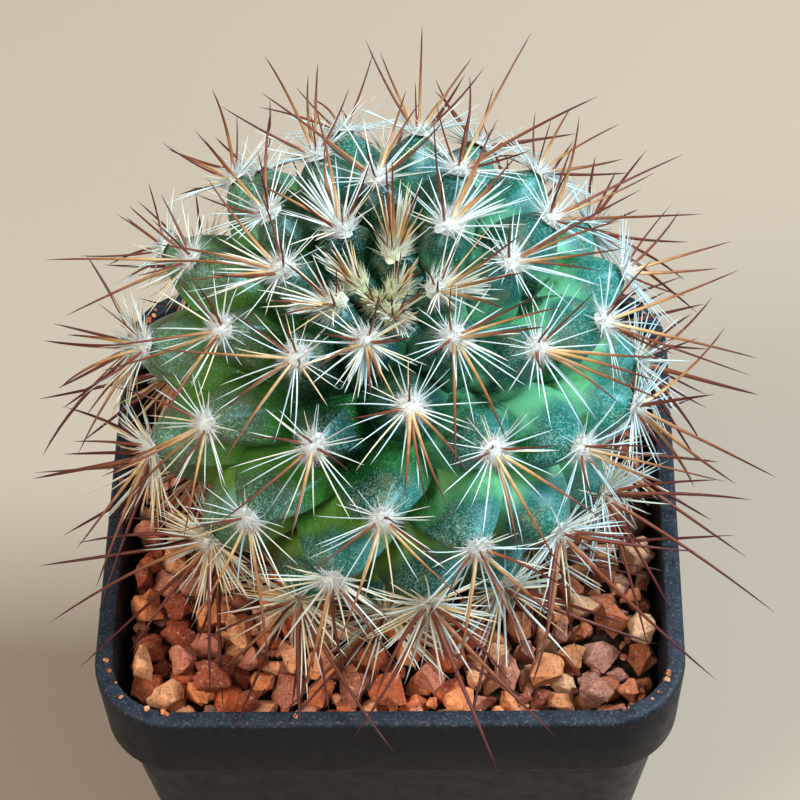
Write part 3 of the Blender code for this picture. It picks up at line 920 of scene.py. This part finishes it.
def central_arrays(places):
    """Areole, angle, rise, length, tint and curl of every central spine."""
    found = []
    for k, number in enumerate(places["number"]):
        openness = opened(number)
        grow = between(YOUNG_SPINE, 1.0, smoothstep(*CENTRALS_GROW, number))
        stretch = LOW_STRETCH if number > LOW_FROM else 1
        old = smoothstep(*TURNS_BROWN, number)
        for toward, tilt, long, dark in CENTRALS:
            if RNG.random() < CENTRAL_MISSING:
                continue
            around = math.radians(toward + RNG.normal(0, CENTRAL_SWING))
            lean = tilt * between(YOUNG_LEAN, 1.0, openness)
            rise = math.radians(90 - lean + RNG.normal(0, CENTRAL_RISE_SWING))
            length = long * grow * RNG.uniform(0.72, 1.25) * stretch
            tint = min(dark + 0.6 * RNG.random() + 0.45 * old + 0.05 * (1 - openness), 1.0)
            curl = RNG.uniform(0.1, 0.42) if dark > 0.5 else RNG.normal(-0.06, 0.09)
            found.append((k, around, rise, length, tint, curl))
    index, *numbers = np.array(found).T
    return picked(places, index.astype(int)), *numbers


def build_centrals(places):
    own, around, rise, length, tint, curl = central_arrays(places)
    direction = fan(own, around, rise)
    base = own["tip"] + own["axis"] * 0.25 * MM
    base += fan(own, around, np.zeros(len(base))) * 0.45 * MM
    direction = lift_clear(base, direction, length)
    bend = own["axis"] * curl[:, None]
    bend += sideways(own, direction, 0.1)
    length = within_box(base, direction, bend, length)
    size = 0.62 + 0.38 * smoothstep(4 * MM, 12 * MM, length)
    size *= 1 + 0.42 * smoothstep(*TURNS_BROWN, own["number"])
    radius = CENTRAL_RADIUS * size * RNG.uniform(0.85, 1.12, len(base))
    arrays = spikes(base, direction, length, radius, bend, sections=9, sides=6)
    spine_piece("central_spines", arrays, tint, central_material())


def cushion_sizes(own):
    """Width and height of each woolly cushion: small in the crown, flat and worn at the foot."""
    number = own["number"]
    size = 0.72 + 0.33 * smoothstep(*CUSHION_GROWS, number)
    worn = smoothstep(*CUSHION_WEARS, number)
    return CUSHION_RADIUS * size * (1 - 0.15 * worn), CUSHION_HEIGHT * size * (1 - 0.45 * worn)


def build_cushions(places, finish):
    """The felted core of each areole, under its loose hairs."""
    wide, high = cushion_sizes(places)
    around = np.arange(CUSHION_SIDES) * math.tau / CUSHION_SIDES
    each = CUSHION_RINGS * CUSHION_SIDES + 1
    last = each - 1 - CUSHION_SIDES
    shell = ring_faces(CUSHION_RINGS, CUSHION_SIDES).tolist()
    shell += [[last + i, last + (i + 1) % CUSHION_SIDES, each - 1] for i in range(CUSHION_SIDES)]
    points, faces = [], []
    for k in range(TUBERCLES):
        tip, axis = places["tip"][k], places["axis"][k]
        ring_round = flat_round(picked(places, [k]), around, CUSHION_STRETCH)
        for ring in range(CUSHION_RINGS):
            angle = ring / CUSHION_RINGS * math.pi / 2
            ragged = 1 + RNG.normal(0, 0.12, CUSHION_SIDES)
            rise = (high[k] + CUSHION_SUNK) * math.sin(angle) - CUSHION_SUNK
            reach = wide[k] * math.cos(angle) * ragged
            points.append(tip + ring_round * reach[:, None] + axis * rise)
        points.append((tip + axis * high[k])[None])
        faces += [[corner + k * each for corner in face] for face in shell]
    values = {"age": np.repeat(places["polar"] / math.pi, each)}
    piece("areole_cushions", np.concatenate(points), faces, finish, ["crown_tuft"], values)


def build_wool(places, finish):
    """Loose hairs that stand out of the cushions, long and swept outwards in the crown."""
    own = picked(places, np.repeat(np.arange(TUBERCLES), WOOL_HAIRS))
    wide, high = cushion_sizes(own)
    count = len(wide)
    around = RNG.uniform(0, math.tau, count)
    lift = np.arcsin(RNG.uniform(-0.2, 1.0, count))
    flat = flat_round(own, around, CUSHION_STRETCH)
    axis = own["axis"]
    base = own["tip"] + flat * (wide * np.cos(lift))[:, None] * HAIR_ROOT
    base += axis * (high * np.sin(lift) * HAIR_ROOT)[:, None]
    out = unit(flat * np.cos(lift)[:, None] + axis * np.sin(lift)[:, None])
    young = 1 - smoothstep(*YOUNG_WOOL_ENDS, own["number"])
    swept = (1.3 * own["down"] + 0.8 * axis) * young[:, None]
    direction = unit(out + RNG.normal(0, HAIR_TANGLE, (count, 3)) + swept)
    length = HAIR_LENGTH * RNG.uniform(0.35, 1.25, count) * (wide / CUSHION_RADIUS)
    length *= 1 + YOUNG_HAIR_EXTRA * young
    straight = np.zeros((count, 3))
    radius = np.full(count, HAIR_RADIUS)
    points, faces, along = spikes(base, direction, length, radius, straight, sections=2, sides=3)
    age = np.repeat(own["polar"] / math.pi, len(along) // count)
    piece("areole_wool", points, faces, finish, ["crown_tuft"], {"age": age})


# Pot


def rounded_square(width, corner, z):
    """Level outline of a square with round corners."""
    angle = (np.arange(4)[:, None] + np.arange(CORNER_STEPS + 1)[None] / CORNER_STEPS) * math.pi / 2
    middle = math.pi / 4 + np.arange(4) * math.pi / 2
    arm = width / 2 - corner
    x = arm * np.sign(np.cos(middle))[:, None] + corner * np.cos(angle)
    y = arm * np.sign(np.sin(middle))[:, None] + corner * np.sin(angle)
    return np.stack([x.ravel(), y.ravel(), np.full(x.size, z)], axis=-1)


def outer_width(z):
    """Width of the tapered body at a height."""
    top = RIM_WIDTH - 2 * (COLLAR_TAPER + LEDGE_WIDTH)
    return BASE_WIDTH + (top - BASE_WIDTH) * z / LEDGE


def edge_outlines(count, start, end, radius, width, corner, z, side=1):
    """Outlines round an edge, from one angle to another; side is 1 for an outer edge, -1 for an inner one."""
    found = []
    for angle in np.linspace(math.radians(start), math.radians(end), count):
        inset = side * radius * (1 - math.cos(angle))
        found.append(rounded_square(width - 2 * inset, corner - inset, z + radius * math.sin(angle)))
    return found


def pot_outlines():
    """Outlines up the outside of the pot, over its rim and down the inside to the floor."""
    collar_low = RIM_WIDTH - 2 * COLLAR_TAPER
    collar_corner = RIM_CORNER - COLLAR_TAPER
    step = LEDGE - LEDGE_HEIGHT
    lip = RIM_EDGE / 2
    found = edge_outlines(5, -90, 0, BASE_EDGE, outer_width(BASE_EDGE), BASE_CORNER, BASE_EDGE)
    found.append(rounded_square(outer_width(step), BODY_CORNER, step))
    found.append(
        rounded_square(collar_low - 2 * COLLAR_EDGE, collar_corner - COLLAR_EDGE, LEDGE - COLLAR_EDGE / 2)
    )
    found += edge_outlines(4, -80, 0, COLLAR_EDGE, collar_low, collar_corner, LEDGE + COLLAR_EDGE)
    found += edge_outlines(6, 0, 90, RIM_EDGE, RIM_WIDTH, RIM_CORNER, RIM_TOP - RIM_EDGE)
    inner = RIM_WIDTH - 2 * RIM_LIP
    found += edge_outlines(4, 90, 0, lip, inner, RIM_CORNER - RIM_LIP, RIM_TOP - lip, side=-1)
    found.append(rounded_square(outer_width(LEDGE) - 2 * WALL, INNER_CORNER, LEDGE))
    found.append(rounded_square(outer_width(FLOOR) - 2 * WALL, BASE_CORNER - WALL, FLOOR))
    return found


def build_pot():
    outlines = pot_outlines()
    sides = len(outlines[0])
    points = np.concatenate(outlines)
    faces = ring_faces(len(outlines), sides).tolist()
    faces.append(list(range(sides))[::-1])
    faces.append(list(range(len(points) - sides, len(points))))
    rim = smoothstep(RIM_TOP - 1.0 * MM, RIM_TOP - 0.1 * MM, points[:, 2])
    finish = pot_material()
    pot = piece("nursery_pot", points, faces, finish, ["pot"], {"rim": rim}, POT_CREASE)
    for x, y in ((-1, -1), (-1, 1), (1, -1), (1, 1)):
        hole = pot.modifiers.new("drain", "BOOLEAN")
        hole.operation = "DIFFERENCE"
        hole.object = drain_cutter(x * DRAIN_OFFSET, y * DRAIN_OFFSET, finish)
    bake_modifiers(pot)


def drain_cutter(x, y, finish):
    bm = bmesh.new()
    bmesh.ops.create_cone(
        bm, cap_ends=True, segments=DRAIN_SIDES, radius1=DRAIN_RADIUS, radius2=DRAIN_RADIUS, depth=4 * FLOOR,
        matrix=Matrix.Translation((x, y, 0.0)),
    )
    mesh = bpy.data.meshes.new("drain_cutter")
    bm.to_mesh(mesh)
    bm.free()
    mesh.materials.append(finish)
    return placed("drain_cutter", mesh)


def bake_modifiers(obj):
    """Applies an object's modifiers and removes the cutters they used."""
    bpy.context.view_layer.update()
    graph = bpy.context.evaluated_depsgraph_get()
    made = bpy.data.meshes.new_from_object(obj.evaluated_get(graph))
    cutters = [m.object for m in obj.modifiers]
    obj.modifiers.clear()
    obj.data = made
    for cutter in cutters:
        bpy.data.objects.remove(cutter)


# Gravel


def stone_shape():
    """An angular grain with worn edges, about one unit in radius: points and faces."""
    bm = bmesh.new()
    stretch = Vector((RNG.uniform(1.0, 1.3), RNG.uniform(0.8, 1.05), RNG.uniform(0.68, 0.9)))
    for _ in range(STONE_POINTS):
        way = Vector(RNG.normal(0, 1, 3)).normalized()
        bm.verts.new(way * stretch * RNG.uniform(0.86, 1.08))
    hull = bmesh.ops.convex_hull(bm, input=bm.verts)
    bmesh.ops.delete(bm, geom=hull["geom_interior"], context="VERTS")
    bmesh.ops.dissolve_limit(bm, angle_limit=STONE_FLAT, verts=bm.verts, edges=bm.edges)
    bmesh.ops.bevel(
        bm, geom=list(bm.edges), offset=STONE_EDGE, segments=2, profile=0.6, affect="EDGES",
        clamp_overlap=True,
    )
    bmesh.ops.triangulate(bm, faces=[f for f in bm.faces if len(f.verts) > 4])
    bmesh.ops.subdivide_edges(bm, edges=[e for e in bm.edges if e.calc_length() > STONE_SPLIT], cuts=1)
    bmesh.ops.recalc_face_normals(bm, faces=bm.faces)
    bm.normal_update()
    shift = Vector(RNG.uniform(0, 50, 3))
    for vert in bm.verts:
        for depth, closeness in STONE_LUMPS:
            vert.co += vert.normal * depth * noise.noise(vert.co * closeness + shift)
    bmesh.ops.triangulate(bm, faces=bm.faces)
    bm.verts.index_update()
    points = np.array([tuple(v.co) for v in bm.verts])
    faces = np.array([[v.index for v in f.verts] for f in bm.faces])
    bm.free()
    return points, faces


def random_turns(count):
    """Random rotation matrices."""
    q = unit(RNG.normal(0, 1, (count, 4)))
    w, x, y, z = q.T
    rows = [
        [1 - 2 * (y * y + z * z), 2 * (x * y - w * z), 2 * (x * z + w * y)],
        [2 * (x * y + w * z), 1 - 2 * (x * x + z * z), 2 * (y * z - w * x)],
        [2 * (x * z - w * y), 2 * (y * z + w * x), 1 - 2 * (x * x + y * y)],
    ]
    return np.array(rows).transpose(2, 0, 1)


def loose_stones_over(half, low, high):
    """Round stand-ins for the stones before they fall: centres and radii, the CAD's six last."""
    count = STONES + LOOSE_STONES
    radius = between(STONE_RADIUS[0], STONE_RADIUS[1], RNG.beta(1.6, 2.2, count))
    at = np.empty((count, 3))
    at[:, 0] = RNG.uniform(-half, half, count)
    at[:, 1] = RNG.uniform(-half, half, count)
    at[:, 2] = RNG.uniform(low + 1 * MM, high + 1 * MM, count)
    for k in range(LOOSE_STONES):
        corner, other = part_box(f"gravel_stone_{k + 1:02d}")
        at[STONES + k] = (corner + other) / 2 + Vector((0.0, 0.0, 3 * MM))
        radius[STONES + k] = (other - corner).length / 3.2
    return at, radius


def push_apart(at, radius):
    """Moves stones that overlap away from each other, part of the way."""
    apart = 1 - np.eye(len(at))
    gap = at[:, None] - at[None]
    far = np.linalg.norm(gap, axis=2) + np.eye(len(at))
    press = np.maximum(NEARNESS * (radius[:, None] + radius[None]) - far, 0.0) * apart
    at += (gap / far[:, :, None] * press[:, :, None] * PUSH).sum(axis=1)


def clear_foot(at, radius):
    """Pushes stones out of the room that the plant's foot takes."""
    from_foot = at[:, :2] - FOOT_ROOM_AT
    distance = np.maximum(np.linalg.norm(from_foot, axis=1), 1e-6)
    least = FOOT_ROOM + 0.8 * radius
    inside = distance < least
    at[inside, :2] = FOOT_ROOM_AT + from_foot[inside] * (least[inside] / distance[inside])[:, None]


def settle_stones():
    """Drops round stand-ins into the pot and lets them push apart: centres and radii."""
    bed_low, bed_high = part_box("gravel_bed")
    half = bed_high.x + GAP
    at, radius = loose_stones_over(half, bed_low.z, bed_high.z)
    for _ in range(SETTLE_STEPS):
        at[:, 2] -= FALL
        push_apart(at, radius)
        clear_foot(at, radius)
        keep_in_square(at, half - 0.85 * radius)
        at[:, 2] = np.maximum(at[:, 2], bed_low.z + 0.75 * radius)
    return at, radius


def keep_in_square(at, half):
    """Pushes points back inside the pot's wall, a square with round corners."""
    at[:, :2] = np.clip(at[:, :2], -half[:, None], half[:, None])
    arm = half - INNER_CORNER
    over = np.maximum(np.abs(at[:, :2]) - arm[:, None], 0.0)
    distance = np.linalg.norm(over, axis=1)
    outside = distance > INNER_CORNER
    share = np.where(outside, INNER_CORNER / np.maximum(distance, 1e-9), 1.0)
    kept = np.sign(at[:, :2]) * (np.minimum(np.abs(at[:, :2]), arm[:, None]) + over * share[:, None])
    at[outside, :2] = kept[outside]


def stones_piece(name, at, radius, shapes, turns, finish, nodes):
    """One piece of turned and scaled copies of the shapes, each stone with a random tint."""
    points, faces, tint = [], [], []
    count = 0
    for k in range(len(at)):
        shape_points, shape_faces = shapes[k % len(shapes)]
        points.append(shape_points @ turns[k].T * radius[k] + at[k])
        faces.append(shape_faces + count)
        tint.append(np.full(len(shape_points), RNG.random()))
        count += len(shape_points)
    values = {"tint": np.concatenate(tint)}
    points, faces = np.concatenate(points), np.concatenate(faces)
    piece(name, points, faces, finish, nodes, values, STONE_CREASE)


def build_gravel():
    shapes = [stone_shape() for _ in range(STONE_SHAPES)]
    finish = gravel_material()
    at, radius = settle_stones()
    turns = random_turns(len(at))
    bed, top = slice(0, STONES), slice(STONES, None)
    stones_piece("gravel_stones", at[bed], radius[bed], shapes, turns[bed], finish, ["gravel_bed"])
    nodes = [f"gravel_stone_{k + 1:02d}" for k in range(LOOSE_STONES)]
    stones_piece("loose_stones", at[top], radius[top], shapes, turns[top], finish, nodes)
    build_fines(shapes, finish, at, radius)
    build_crumbs(shapes, finish)


def build_fines(shapes, finish, stones, radius):
    """Small grains in the gaps between the stones."""
    low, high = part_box("gravel_bed")
    at = np.empty((FINES, 3))
    at[:, :2] = RNG.uniform(low.x, high.x, (FINES, 2))
    at[:, 2] = RNG.uniform(low.z + 1.5 * MM, high.z - 2.5 * MM, FINES)
    grain = RNG.uniform(*FINE_RADIUS, FINES)
    keep_in_square(at, high.x - grain)
    far = np.linalg.norm(at[:, None] - stones[None], axis=2)
    free = (far > 0.9 * radius[None] + 0.3 * grain[:, None]).all(axis=1)
    free &= np.linalg.norm(at[:, :2] - FOOT_ROOM_AT, axis=1) > FOOT_ROOM
    turns = random_turns(free.sum())
    stones_piece("gravel_fines", at[free], grain[free], shapes, turns, finish, ["gravel_bed"])


def build_crumbs(shapes, finish):
    """Gravel dust and crumbs left on the pot's rim."""
    turn = RNG.uniform(0, math.tau, CRUMBS)
    inner = rounded_square(RIM_WIDTH - 2 * RIM_LIP, INNER_CORNER, RIM_TOP)
    outer = rounded_square(RIM_WIDTH - 2 * RIM_EDGE, RIM_CORNER, RIM_TOP)
    pick = (turn / math.tau * len(inner)).astype(int)
    share = RNG.uniform(0.15, 0.85, CRUMBS)[:, None]
    along = RNG.random(CRUMBS)[:, None]
    edge_in = between(inner[pick], inner[(pick + 1) % len(inner)], along)
    edge_out = between(outer[pick], outer[(pick + 1) % len(outer)], along)
    radius = RNG.uniform(*CRUMB_RADIUS, CRUMBS)
    at = between(edge_in, edge_out, share)
    at[:, 2] += radius * 0.55
    stones_piece("gravel_crumbs", at, radius, shapes, random_turns(CRUMBS), finish, [])


# Room


def build_floor():
    mesh = bpy.data.meshes.new("floor")
    corners = [(x * FLOOR_REACH, y * FLOOR_REACH, 0) for x, y in ((-1, -1), (1, -1), (1, 1), (-1, 1))]
    mesh.from_pydata(corners, [], [(0, 1, 2, 3)])
    mesh.materials.append(floor_material())
    floor = placed("floor", mesh)


def area_light(name, azimuth, elevation, distance, size, power, tint):
    """A soft square lamp that shines on the plant; azimuth 0 is in front, 90 on the right."""
    data = bpy.data.lights.new(name, "AREA")
    data.size = size
    data.energy = power
    data.color = tint
    lamp = placed(name, data)
    a, e = math.radians(azimuth), math.radians(elevation)
    out = Vector((math.sin(a) * math.cos(e), -math.cos(a) * math.cos(e), math.sin(e)))
    lamp.location = BODY_CENTRE + out * distance
    lamp.rotation_euler = out.to_track_quat("Z", "Y").to_euler()


def build_lights():
    world = bpy.data.worlds.new("studio")
    world.use_nodes = True
    shine = world.node_tree.nodes["Background"]
    shine.inputs["Color"].default_value = WORLD_COLOUR
    shine.inputs["Strength"].default_value = WORLD_STRENGTH
    bpy.context.scene.world = world
    for name, lamp in LAMPS.items():
        area_light(name, *lamp)


def build_camera():
    data = bpy.data.cameras.new("camera")
    data.lens = CAMERA_LENS
    data.sensor_width = CAMERA_SENSOR
    data.clip_start = 0.01
    camera = placed("camera", data)
    turn = Matrix.Rotation(CAMERA_TURN, 3, "Z")
    e = CAMERA_ELEVATION
    right = turn @ Vector((1, 0, 0))
    up = turn @ Vector((0, math.sin(e), math.cos(e)))
    ahead = turn @ Vector((0, math.cos(e), -math.sin(e)))
    place = Vector((0, 0, RIM_TOP)) + right * CAMERA_ACROSS + up * CAMERA_UP - ahead * CAMERA_DISTANCE
    across = right * math.cos(CAMERA_ROLL) - up * math.sin(CAMERA_ROLL)
    upward = right * math.sin(CAMERA_ROLL) + up * math.cos(CAMERA_ROLL)
    camera.matrix_world = Matrix.Translation(place) @ Matrix((across, upward, -ahead)).transposed().to_4x4()
    bpy.context.scene.camera = camera


def main():
    bpy.context.scene.view_settings.view_transform = "Standard"
    build_floor()
    build_lights()
    build_camera()
    build_pot()
    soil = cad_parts["potting_soil"].data.materials
    soil.clear()
    soil.append(soil_material())
    build_gravel()
    build_skin()
    places = areoles()
    build_radials(places)
    build_centrals(places)
    wool = wool_material()
    build_cushions(places, wool)
    build_wool(places, wool)


main()
